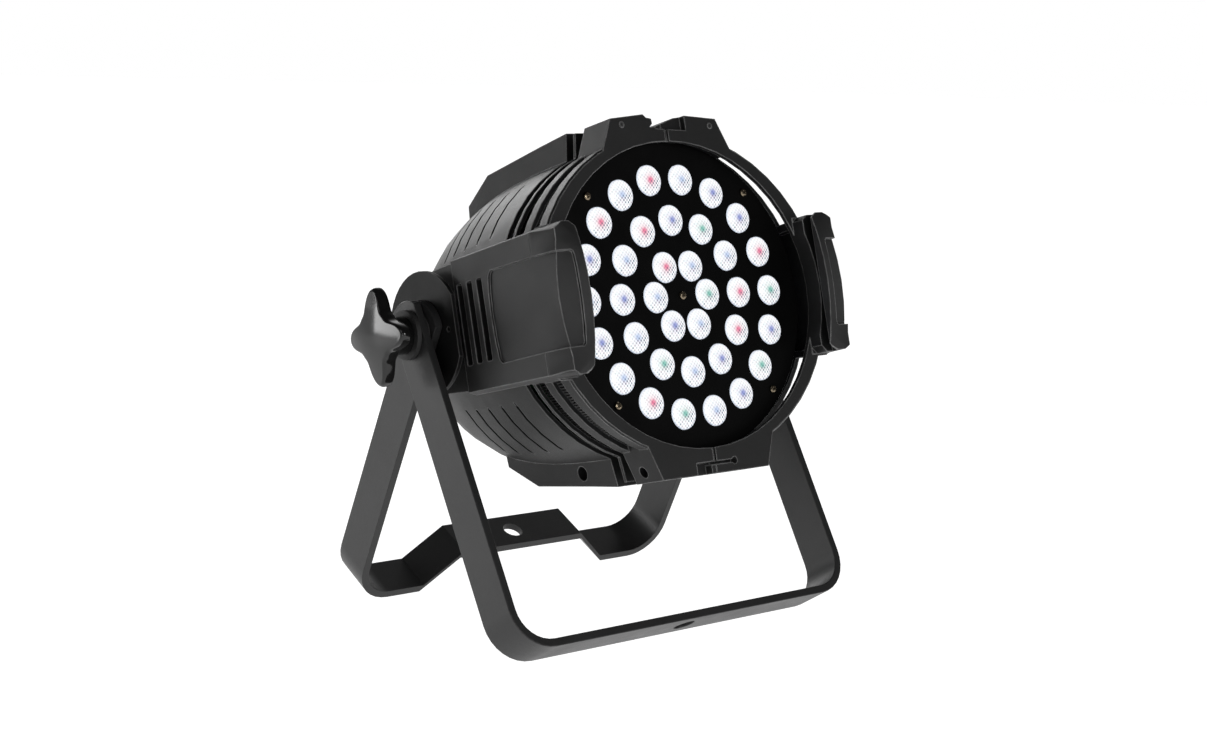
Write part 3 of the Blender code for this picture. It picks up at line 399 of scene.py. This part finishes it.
def lens_glow(name, tint):
    """A lit bead lens: bright white, rows of small beads, and the chip's colour in its middle."""
    look = Finish(name)
    x, _, z = look.split(look.point)
    joined = look.node("ShaderNodeCombineXYZ")
    look.put(joined.inputs[0], x)
    look.put(joined.inputs[1], z)
    flat = joined.outputs[0]
    across = look.node("ShaderNodeVectorMath")
    across.operation = "LENGTH"
    look.put(across.inputs[0], flat)
    reach = across.outputs["Value"]

    # The beads, and how dark the gaps between them are: darker towards one side, and patchy.
    waves_x = look.maths("SINE", look.maths("MULTIPLY", x, BEADS_ACROSS))
    waves_z = look.maths("SINE", look.maths("MULTIPLY", z, BEADS_UP))
    beads = look.between(look.maths("MULTIPLY", waves_x, waves_z), -0.35, 0.22, 0.0, 1.0, True)
    lower = look.maths("ADD", look.maths("MULTIPLY", x, 34.0), look.maths("MULTIPLY", z, -40.0))
    patchy = look.between(look.noise(260.0, 2.0, 0.5, flat), 0.38, 0.62, 0.45, 1.0, True)
    side = look.maths("MULTIPLY", look.between(lower, -0.25, 0.25, 0.28, 0.92, True), patchy)
    gaps = look.maths("MULTIPLY", look.maths("SUBTRACT", 1.0, beads), side)

    # The colours, from the chip in the middle out to the rim.
    centre = look.between(reach, 0.0006, 0.0034, 0.90, 0.0, True)
    halo = look.between(reach, 0.0015, 0.0072, 0.55, 0.0, True)
    rim = look.between(reach, LENS_RADIUS - 0.0013, LENS_RADIUS - 0.0001, 0.0, 0.55, True)
    stain = look.noise(520.0, 3.0, 0.6, flat)
    cool = look.mix(look.between(stain, 0.52, 0.68, 0.0, 0.45),
                    (0.98, 1.0, 1.0, 1.0), (0.66, 0.86, 0.93, 1.0))
    misty = look.mix(look.between(stain, 0.48, 0.34, 0.0, 0.40), cool, (0.96, 0.76, 0.86, 1.0))
    pale = tuple(0.45 * part + 0.55 for part in tint[:3]) + (1.0,)
    spotted = look.mix(centre, look.mix(halo, misty, pale), tint)
    fringe = look.mix(look.between(stain, 0.40, 0.60, 0.0, 1.0),
                      (0.20, 0.09, 0.17, 1.0), (0.07, 0.13, 0.19, 1.0))
    colour = look.mix(rim, look.mix(gaps, spotted, fringe), (0.50, 0.58, 0.72, 1.0))

    cells = look.maths("MULTIPLY", look.voronoi(1250.0, vector=flat), 0.4)
    look.set(Base_Color=look.mix(beads, grey(0.02), grey(0.06)), Roughness=0.12,
             Emission_Color=colour, Emission_Strength=LENS_LIGHT, Coat_Weight=0.5,
             Normal=look.bump(look.maths("ADD", beads, cells), 0.00012, 0.5))
    return look.material


COAT = powder_coat()
COVER_COAT = powder_coat("cover_coat", 0.0080, 0.0005)
BAR = bar_paint()
FACE = face_black()
DISC = disc_paint()
GLOSS = gloss_moulding()
PLASTIC = matte_plastic()
ZINC = zinc_steel()
BRASS = dull_brass()
ALUMINIUM = bare_aluminium()
FINS = dark_fins()
BOARD = circuit_board()
DISPLAY = display_dark()
GLOWS = {"r": lens_glow("lens_red", (0.80, 0.12, 0.26, 1.0)),
         "g": lens_glow("lens_green", (0.14, 0.50, 0.40, 1.0)),
         "b": lens_glow("lens_blue", (0.20, 0.25, 0.62, 1.0)),
         "w": lens_glow("lens_white", (0.48, 0.60, 0.84, 1.0))}
SLOT_MATERIALS = {"powder_coat": COAT, "yoke_paint": BAR, "face_black": FACE, "lens_clear": GLOWS["w"],
                  "knob_gloss": GLOSS, "black_plastic": PLASTIC, "zinc_steel": ZINC,
                  "bare_aluminium": ALUMINIUM, "circuit_board": BOARD, "display_dark": DISPLAY}
NODE_MATERIALS = {"rear_cover": COVER_COAT, "friction_disc_left": DISC, "friction_disc_right": DISC}


# ---------------------------------------------------------------- carried-over pieces
def bevel_edges(obj, width, angle):
    """Join the facets of each flat face, and round the edges between faces."""
    flat = obj.modifiers.new("flat", "DECIMATE")
    flat.decimate_type = "DISSOLVE"
    flat.angle_limit = math.radians(0.5)
    soft = obj.modifiers.new("soft", "BEVEL")
    soft.width = width
    soft.segments = 3
    soft.limit_method = "ANGLE"
    soft.angle_limit = math.radians(angle)
    soft.miter_outer = "MITER_ARC"
    lean = obj.modifiers.new("lean", "WEIGHTED_NORMAL")
    lean.weight = 50


def split_edges(obj, angle):
    """Keep edges sharper than the angle crisp, and shade the rest smoothly."""
    split = obj.modifiers.new("split", "EDGE_SPLIT")
    split.split_angle = math.radians(angle)
    split.use_edge_sharp = False


def finish_node(name, material):
    """Give a CAD node its material, weld its facets, and round the yokes' edges."""
    obj = NODES[name]
    mesh = obj.data
    custom = mesh.attributes.get("custom_normal")
    if custom:
        mesh.attributes.remove(custom)
    mesh.shade_smooth()
    mesh.materials.clear()
    mesh.materials.append(material)
    weld = obj.modifiers.new("weld", "WELD")
    weld.merge_threshold = 0.00001
    if name.startswith("yoke"):
        bevel_edges(obj, YOKE_BEVEL, 24.0)
    else:
        split_edges(obj, 30.0)


def finish_nodes():
    """Finish every CAD node by its own entry or else by its material slot."""
    slots = {part["node"]: part["material_slot"] for part in frame["record"]["subparts"]}
    for name in sorted(NODES):
        finish_node(name, NODE_MATERIALS.get(name, SLOT_MATERIALS[slots[name]]))


# ---------------------------------------------------------------- mesh helpers
def new_object(name, bm, material, smooth_angle=35.0):
    """Turn a bmesh into a linked object, smooth but for edges sharper than the angle."""
    mesh = bpy.data.meshes.new(name)
    bmesh.ops.remove_doubles(bm, verts=bm.verts, dist=1e-6)
    bmesh.ops.recalc_face_normals(bm, faces=bm.faces)
    bm.to_mesh(mesh)
    bm.free()
    mesh.shade_smooth()
    mesh.set_sharp_from_angle(angle=math.radians(smooth_angle))
    mesh.materials.append(material)
    obj = bpy.data.objects.new(name, mesh)
    bpy.context.scene.collection.objects.link(obj)
    return obj


def on_head(obj, local=None, body="head"):
    """Place an object in the head's frame, riding on the body."""
    obj.matrix_world = HEAD @ (local if local is not None else Matrix.Identity(4))
    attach(obj, body)


def on_circle(radius, angle):
    """The two coordinates of a point on a circle."""
    return radius * math.cos(angle), radius * math.sin(angle)


def lathe(profile, steps):
    """Solid of revolution about Y through (y, radius) pairs, closed at both ends."""
    bm = bmesh.new()
    rows = []
    for y, radius in profile:
        if radius <= 1e-7:
            rows.append([bm.verts.new((0.0, y, 0.0))])
            continue
        places = [on_circle(radius, 2 * math.pi * i / steps) for i in range(steps)]
        rows.append([bm.verts.new((x, y, z)) for x, z in places])
    for low, high in zip(rows, rows[1:]):
        for i in range(steps):
            j = (i + 1) % steps
            if len(low) == 1:
                bm.faces.new((low[0], high[j], high[i]))
            elif len(high) == 1:
                bm.faces.new((low[i], low[j], high[0]))
            else:
                bm.faces.new((low[i], low[j], high[j], high[i]))
    for row, flip in ((rows[0], True), (rows[-1], False)):
        if len(row) > 1:
            bm.faces.new(reversed(row) if flip else row)
    return bm


def boolean_cut(obj, cutter_bm, sharp_angle):
    """Cut the cutter out of the object, which keeps its one material."""
    material = obj.data.materials[0]
    cutter = new_object("cutter", cutter_bm, material)
    modifier = obj.modifiers.new("cut", "BOOLEAN")
    modifier.operation = "DIFFERENCE"
    modifier.solver = "EXACT"
    modifier.object = cutter
    graph = bpy.context.evaluated_depsgraph_get()
    result = bpy.data.meshes.new_from_object(obj.evaluated_get(graph), depsgraph=graph)
    obj.modifiers.clear()
    obj.data = result
    bpy.data.objects.remove(cutter)
    result.materials.clear()
    result.materials.append(material)
    result.set_sharp_from_angle(angle=math.radians(sharp_angle))


def add_box(bm, centre, size, turn=None):
    """Add a box, turned about its centre."""
    matrix = Matrix.Translation(centre) @ (turn or Matrix.Identity(4)) @ Matrix.Diagonal((*size, 1.0))
    bmesh.ops.create_cube(bm, size=1.0, matrix=matrix)


# ---------------------------------------------------------------- lens panel
def lens_places():
    """Ring, number in its ring, colour letter and centre (x, z) of every lens."""
    for ring, radius, colours in RINGS:
        for index, colour in enumerate(colours):
            yield ring, index, colour, on_circle(radius, 2 * math.pi * index / len(colours))


def lens_mesh():
    """Domed bead lens about its own centre, facing -Y, with a small rolled rim."""
    return lathe([(-0.0015, 0.0), (-0.00148, 0.0012), (-0.00142, 0.0024), (-0.00132, 0.0036),
                  (-0.00116, 0.0048), (-0.00094, 0.0060), (-0.00066, 0.0071), (-0.00036, 0.0080),
                  (-0.00010, 0.0087), (-0.00012, 0.0090), (-0.00002, 0.0093), (0.0003, 0.0095),
                  (0.0060, 0.0095)], 48)


def build_lenses():
    """36 separate lenses, each lit in its own colour."""
    for ring, index, colour, (x, z) in lens_places():
        lens = new_object("lens_%s_%02d" % (ring, index + 1), lens_mesh(), GLOWS[colour], 50.0)
        on_head(lens, Matrix.Translation((x, LENS_PLANE, z)))
        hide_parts("lens_ring_" + ring)


def build_face_plate():
    """The panel, with a rounded lip round every lens hole."""
    outline = [(LENS_PLANE, 0.0), (LENS_PLANE, PLATE_RADIUS - 0.0003),
               (LENS_PLANE + 0.0003, PLATE_RADIUS), (PLATE_BACK, PLATE_RADIUS), (PLATE_BACK, 0.0)]
    plate = new_object("lens_panel", lathe(outline, 120), FACE)
    hole_outline = [(LENS_PLANE - 0.003, 0.0103), (LENS_PLANE, 0.0100),
                    (LENS_PLANE + 0.0004, 0.0098), (PLATE_BACK + 0.003, 0.0098)]
    holes = bmesh.new()
    for _, _, _, (x, z) in lens_places():
        hole = lathe(hole_outline, 48)
        bmesh.ops.translate(hole, verts=hole.verts, vec=(x, 0.0, z))
        mesh = bpy.data.meshes.new("hole")
        hole.to_mesh(mesh)
        hole.free()
        holes.from_mesh(mesh)
        bpy.data.meshes.remove(mesh)
    boolean_cut(plate, holes, 12.0)
    on_head(plate)
    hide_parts("face_plate")


def cross_screw(name, material, head_radius, height, shank_radius, length=0.0080):
    """Pan-head screw facing -Y at its own origin, with a cross recess."""
    pan = ((1.0, 0.0), (0.98, 0.45), (0.82, 0.78), (0.50, 0.96), (0.18, 1.0), (0.0, 0.97))
    profile = [(-height * rise, head_radius * reach) for rise, reach in pan]
    profile += [(0.0, shank_radius), (length, shank_radius)]
    screw = new_object(name, lathe(profile, 32), material)
    deep = height * 1.5
    wide = head_radius * 1.15
    thin = head_radius * 0.20
    for size in ((wide, deep, thin), (thin, deep, wide)):
        slot = bmesh.new()
        add_box(slot, (0, -height, 0), size)
        boolean_cut(screw, slot, 30.0)
    return screw


def build_screws():
    """The lens panel's brass screws and the rear cover's zinc ones, each stopped at its own angle."""
    places = [("centre", 0.0, 0.0)]
    for index, name in enumerate(("upper_right", "upper_left", "lower_left", "lower_right")):
        places.append((name, *on_circle(FACE_SCREW_CIRCLE, math.radians(45 + 90 * index))))
    for index, (name, x, z) in enumerate(places):
        screw = cross_screw("panel_screw_" + name, BRASS, head_radius=0.0026, height=0.0016,
                            shank_radius=0.0015)
        turn = Matrix.Rotation(math.radians(17 + 31 * index), 4, "Y")
        on_head(screw, Matrix.Translation((x, LENS_PLANE - 0.0002, z)) @ turn)
        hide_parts("face_screw_" + name)
    for index in range(4):
        x, z = on_circle(COVER_SCREW_CIRCLE, math.radians(45 + 90 * index))
        screw = cross_screw("rear_screw_%d" % (index + 1), ZINC, head_radius=0.0030, height=0.0019,
                            shank_radius=0.0013)
        turn = Matrix.Rotation(math.pi, 4, "Z") @ Matrix.Rotation(math.radians(23 * index), 4, "Y")
        on_head(screw, Matrix.Translation((x, COVER_BACK + 0.0002, z)) @ turn)
        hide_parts("cover_screw_%d" % (index + 1))


def build_flange_marks():
    """Two small round witness marks of the casting on the front of the top flange."""
    profile = [(-0.00016, 0.0), (-0.00016, 0.0009), (-0.00006, 0.0012), (-0.00030, 0.0015),
               (-0.00034, 0.0018), (-0.00020, 0.0021), (0.0004, 0.0022)]
    for name, x, z in (("left", -0.0346, 0.1055), ("right", 0.0366, 0.1050)):
        mark = new_object("flange_mark_" + name, lathe(profile, 32), COAT, 60.0)
        on_head(mark, Matrix.Translation((x, FLANGE_FRONT, z)))


# ---------------------------------------------------------------- heat sink teeth
def build_heat_sink():
    """Base disc, with fine teeth that show through the slots behind the ring."""
    bm = lathe([(SINK_FRONT, 0.0), (SINK_FRONT, SINK_FRONT_RADIUS), (SINK_BACK, SINK_BACK_RADIUS),
                (SINK_BACK, 0.0)], 96)
    teeth = 300
    tooth_size = (0.0150, 0.0258, 0.0010)
    tooth_centre = Vector((0.0885, -0.0719, 0.0))
    for index in range(teeth):
        turn = Matrix.Rotation(-2 * math.pi * index / teeth, 4, "Y")
        add_box(bm, turn @ tooth_centre, tooth_size, turn)
    sink = new_object("heat_sink_teeth", bm, FINS)
    on_head(sink)
    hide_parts("heat_sink")


# ---------------------------------------------------------------- knobs
def knob_radius(angle):
    """The star's outline: its radius at an angle from the middle of a lobe."""
    lobe = (0.5 + 0.5 * math.cos(KNOB_LOBES * angle)) ** KNOB_SHARPNESS
    return KNOB_WAIST + (KNOB_RADIUS - KNOB_WAIST) * lobe


def knob_dome(radius):
    """How far out the face lies at a radius: crowned in the middle, falling to the lobes."""
    return KNOB_FACE + KNOB_CROWN - KNOB_FALL * (radius / KNOB_RADIUS) ** 2


def knob_column(angle):
    """Points (x, radius) from the boss end, round the lobe's edge, to the middle of the face."""
    boss = ((-0.0217, 0.36), (-0.0217, 0.385), (-0.0213, 0.39), (-0.0150, 0.39), (-0.0116, 0.40))
    points = [(KNOB_FACE + x, KNOB_RADIUS * scale) for x, scale in boss]
    rim = knob_radius(angle) - KNOB_EDGE
    back = KNOB_FACE - KNOB_THICK + KNOB_EDGE
    front = knob_dome(rim) - KNOB_EDGE
    for middle, start in ((back, -90), (front, 0)):
        for step in range(7):
            turn = math.radians(start + 15 * step)
            points.append((middle + KNOB_EDGE * math.sin(turn), rim + KNOB_EDGE * math.cos(turn)))
    for step in range(1, 9):
        radius = rim * (1 - step / 9)
        points.append((knob_dome(radius), radius))
    return points


def knob_mesh():
    """Star knob turned about X, with rounded lobes and a gently domed face."""
    bm = bmesh.new()
    steps = 144
    columns = []
    for i in range(steps):
        angle = 2 * math.pi * i / steps
        column = []
        for x, radius in knob_column(angle):
            column.append(bm.verts.new((x, *on_circle(radius, angle + KNOB_PHASE))))
        columns.append(column)
    for i in range(steps):
        here = columns[i]
        there = columns[(i + 1) % steps]
        for low in range(len(here) - 1):
            bm.faces.new((here[low], there[low], there[low + 1], here[low + 1]))
    bm.faces.new([column[0] for column in reversed(columns)])
    bm.faces.new([column[-1] for column in columns])
    return bm


def build_knobs():
    """The right knob, and its mirror image on the left."""
    for name, side in (("left", -1), ("right", 1)):
        bm = knob_mesh()
        bmesh.ops.scale(bm, vec=(side, 1, 1), verts=bm.verts)
        knob = new_object("star_knob_" + name, bm, GLOSS, 60.0)
        on_head(knob, body="knob_%s_body" % name)
        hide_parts("knob_" + name)


# ---------------------------------------------------------------- studio
FLOOR_HALF = 30.0
FLOOR_DROP = 0.0005

# Each light: name, place, size of its rectangle and power. All of them look at the middle.
LIGHTS = (("side_left", (-1.15, 1.02, 0.28), (0.50, 0.50), 4.2),
          ("key_left", (-1.5, -0.3, 1.1), (0.6, 0.6), 1.4),
          ("key_front", (-0.1, -1.6, 0.75), (0.6, 0.5), 8.0),
          ("strip_left", (-1.5, -0.9, 0.30), (0.10, 0.9), 1.6),
          ("top_back", (0.20, 1.6, 0.80), (1.0, 0.5), 7.0))
MIDDLE = Vector((0.0, 0.0, 0.18))

# The camera, worked out from how the photograph shows the lens circles and the yokes; in
# metres, degrees and millimetres.
CAMERA_PLACE = (-0.7965, -0.9928, 0.3497)
CAMERA_TURN = (81.204, -1.568, -38.888)
CAMERA_LENS = 58.69
CAMERA_SENSOR = 36.0


def build_floor():
    """Pale floor that gives off a soft light, dimmer far to the left of the camera's view."""
    bm = bmesh.new()
    bmesh.ops.create_grid(bm, x_segments=2, y_segments=2, size=FLOOR_HALF)
    look = Finish("studio_floor")
    x, y, _ = look.split(look.point)
    leftward = look.maths("SUBTRACT", look.maths("MULTIPLY", y, 0.4), x)
    falloff = look.between(leftward, 0.46, 1.20, 0.0, 1.0, True)
    look.set(Base_Color=look.mix(look.noise(3.0, 2.0), grey(0.40), grey(0.43)), Roughness=0.65,
             Emission_Color=look.mix(falloff, grey(1.0), grey(0.50)), Emission_Strength=0.97,
             Specular_IOR_Level=0.2)
    floor = new_object("studio_floor", bm, look.material)
    floor.location.z = -FLOOR_DROP


def build_world():
    """White surroundings, bright behind the object and along the horizon, dim elsewhere."""
    world = bpy.data.worlds.new("studio")
    bpy.context.scene.world = world
    world.use_nodes = True
    sky = Graph(world.node_tree)
    toward = sky.node("ShaderNodeTexCoord").outputs["Generated"]
    _, _, height = sky.split(toward)
    level = sky.between(sky.dot(toward, (0.62, 0.78, 0.0)), 0.45, 0.92, 0.16, 1.0, True)
    ceiling = sky.between(height, 0.25, 0.75, 1.0, 0.25, True)
    horizon = sky.between(height, 0.02, 0.14, 1.0, 0.0, True)
    back = world.node_tree.nodes["Background"]
    back.inputs["Color"].default_value = (1.0, 1.0, 1.0, 1.0)
    sky.put(back.inputs["Strength"],
            sky.maths("MAXIMUM", sky.maths("MULTIPLY", level, ceiling), horizon))


def build_lights():
    """Soft rectangular lights round the object."""
    for name, place, size, power in LIGHTS:
        data = bpy.data.lights.new(name, "AREA")
        data.shape = "RECTANGLE"
        data.size, data.size_y = size
        data.energy = power
        light = bpy.data.objects.new(name, data)
        light.location = place
        light.rotation_euler = (MIDDLE - Vector(place)).to_track_quat("-Z", "Y").to_euler()
        bpy.context.scene.collection.objects.link(light)


def build_camera():
    """The photograph's view."""
    data = bpy.data.cameras.new("camera")
    data.sensor_width = CAMERA_SENSOR
    data.lens = CAMERA_LENS
    camera = bpy.data.objects.new("camera", data)
    camera.location = CAMERA_PLACE
    camera.rotation_euler = [math.radians(part) for part in CAMERA_TURN]
    bpy.context.scene.collection.objects.link(camera)
    bpy.context.scene.camera = camera
    bpy.context.scene.view_settings.view_transform = "Standard"


finish_nodes()
build_lenses()
build_face_plate()
build_screws()
build_flange_marks()
build_heat_sink()
build_knobs()
build_floor()
build_world()
build_lights()
build_camera()
